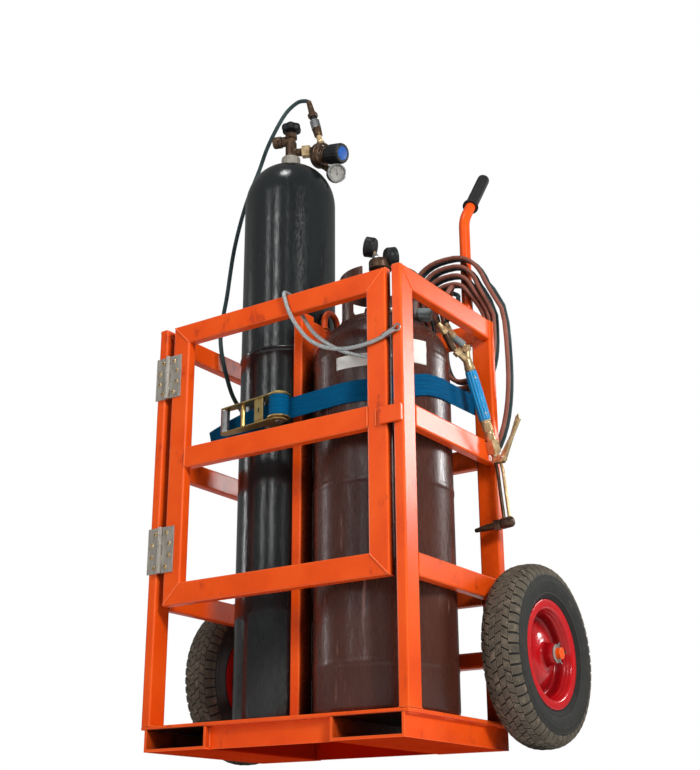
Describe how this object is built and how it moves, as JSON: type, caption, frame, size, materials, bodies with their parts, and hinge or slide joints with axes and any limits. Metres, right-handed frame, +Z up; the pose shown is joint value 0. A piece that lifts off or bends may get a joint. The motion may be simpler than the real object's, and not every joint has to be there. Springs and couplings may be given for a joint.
{
  "type": "gas cylinder cart",
  "caption": "Wheeled steel cage cart with a swing gate, fork pockets and lifting eye, carrying an oxygen and an acetylene cylinder with regulators, hoses, torch and ratchet strap.",
  "frame": {"origin": "on the ground, under the middle of the cart's box without its hoses and tether", "axes": "+X to the cart's right seen from its gate, +Y to the push handles and wheels, +Z up"},
  "size_m": [0.938, 0.6532, 1.7157],
  "materials": {
    "orange_paint": "semi-gloss orange paint, rubbed at the edges",
    "red_enamel": "gloss red enamel",
    "tyre_rubber": "matt black tyre rubber",
    "grip_rubber": "soft black grip",
    "zinc_plate": "dull zinc plate",
    "blue_webbing": "woven blue polyester",
    "yellow_zinc": "yellow zinc plate",
    "black_paint": "worn black paint",
    "maroon_paint": "worn maroon paint",
    "brass": "dull machined brass",
    "black_plastic": "matt black moulding",
    "grey_plastic": "matt grey moulding",
    "fuel_hose": "red-brown hose rubber",
    "oxygen_hose": "dark teal hose rubber",
    "wire_rope": "galvanised wire rope in a clear sheath"
  },
  "bodies": {
    "cart": {"deck_plate": "orange_paint", "left_fork_pocket": "orange_paint", "right_fork_pocket": "orange_paint", "front_base_panel": "orange_paint", "rear_base_panel": "orange_paint", "front_left_post": "orange_paint", "front_right_post": "orange_paint", "rear_left_post": "orange_paint", "rear_right_post": "orange_paint", "left_top_rail": "orange_paint", "left_mid_rail": "orange_paint", "left_low_rail": "orange_paint", "right_top_rail": "orange_paint", "right_mid_rail": "orange_paint", "right_low_rail": "orange_paint", "rear_top_rail": "orange_paint", "rear_mid_rail": "orange_paint", "rear_low_rail": "orange_paint", "divider_post": "orange_paint", "lifting_eye": "orange_paint", "axle": "orange_paint", "left_handle": "orange_paint", "right_handle": "orange_paint", "left_grip": "grip_rubber", "right_grip": "grip_rubber", "upper_hinge_post_leaf": "zinc_plate", "lower_hinge_post_leaf": "zinc_plate", "strap_webbing": "blue_webbing", "strap_anchor_webbing": "blue_webbing", "ratchet_frame": "yellow_zinc", "oxygen_cylinder": "black_paint", "acetylene_cylinder": "maroon_paint", "oxygen_valve": "brass", "oxygen_regulator": "brass", "acetylene_regulator": "brass", "torch_body": "brass", "fuel_hose_coil": "fuel_hose", "fuel_supply_hose": "fuel_hose", "fuel_torch_lead": "fuel_hose", "oxygen_hose_coil": "oxygen_hose", "oxygen_supply_hose": "oxygen_hose", "oxygen_torch_lead": "oxygen_hose"},
    "gate": {"gate_hinge_stile": "orange_paint", "gate_latch_stile": "orange_paint", "gate_top_rail": "orange_paint", "gate_mid_rail": "orange_paint", "gate_bottom_rail": "orange_paint", "gate_stop_tab": "orange_paint", "upper_hinge_gate_leaf": "zinc_plate", "lower_hinge_gate_leaf": "zinc_plate", "gate_tether": "wire_rope"},
    "left_wheel": {"left_tyre": "tyre_rubber", "left_rim": "red_enamel"},
    "right_wheel": {"right_tyre": "tyre_rubber", "right_rim": "red_enamel"},
    "ratchet_lever": {"ratchet_handle": "yellow_zinc"},
    "valve_handwheel": {"oxygen_handwheel": "black_plastic"},
    "oxygen_knob": {"oxygen_regulator_knob": "black_plastic"},
    "acetylene_knob": {"acetylene_regulator_knob": "grey_plastic"},
    "cutting_lever": {"torch_lever": "brass"}
  },
  "joints": [
    {"name": "gate_swing", "type": "hinge", "parent": "cart", "child": "gate", "pos_m": [-0.3145, -0.32105, 0], "axis": [0, 0, -1], "range_deg": [0, 175]},
    {"name": "left_wheel_spin", "type": "hinge", "parent": "cart", "child": "left_wheel", "pos_m": [-0.411, 0.12655, 0.2], "axis": [1, 0, 0], "continuous": true},
    {"name": "right_wheel_spin", "type": "hinge", "parent": "cart", "child": "right_wheel", "pos_m": [0.411, 0.12655, 0.2], "axis": [1, 0, 0], "continuous": true},
    {"name": "ratchet_swing", "type": "hinge", "parent": "cart", "child": "ratchet_lever", "pos_m": [-0.00542, -0.2798, 0.746], "axis": [0, 0, 1], "range_deg": [0, 100]},
    {"name": "handwheel_turn", "type": "hinge", "parent": "cart", "child": "valve_handwheel", "pos_m": [-0.1318, -0.08025, 1.6166], "axis": [0, 0, 1], "range_deg": [0, 720]},
    {"name": "oxygen_knob_turn", "type": "hinge", "parent": "cart", "child": "oxygen_knob", "pos_m": [-0.03314, -0.04772, 1.51975], "axis": [0.9622, -0.084, -0.2591], "range_deg": [0, 1080]},
    {"name": "acetylene_knob_turn", "type": "hinge", "parent": "cart", "child": "acetylene_knob", "pos_m": [0.24798, -0.0803, 0.98092], "axis": [0.9319, 0.3392, -0.1289], "range_deg": [0, 1080]},
    {"name": "lever_press", "type": "hinge", "parent": "cart", "child": "cutting_lever", "pos_m": [0.384, 0.05875, 0.64], "axis": [0, -1, 0], "range_deg": [0, 12], "stiffness_Nm_per_rad": 3, "springref_deg": -5.73}
  ]
}
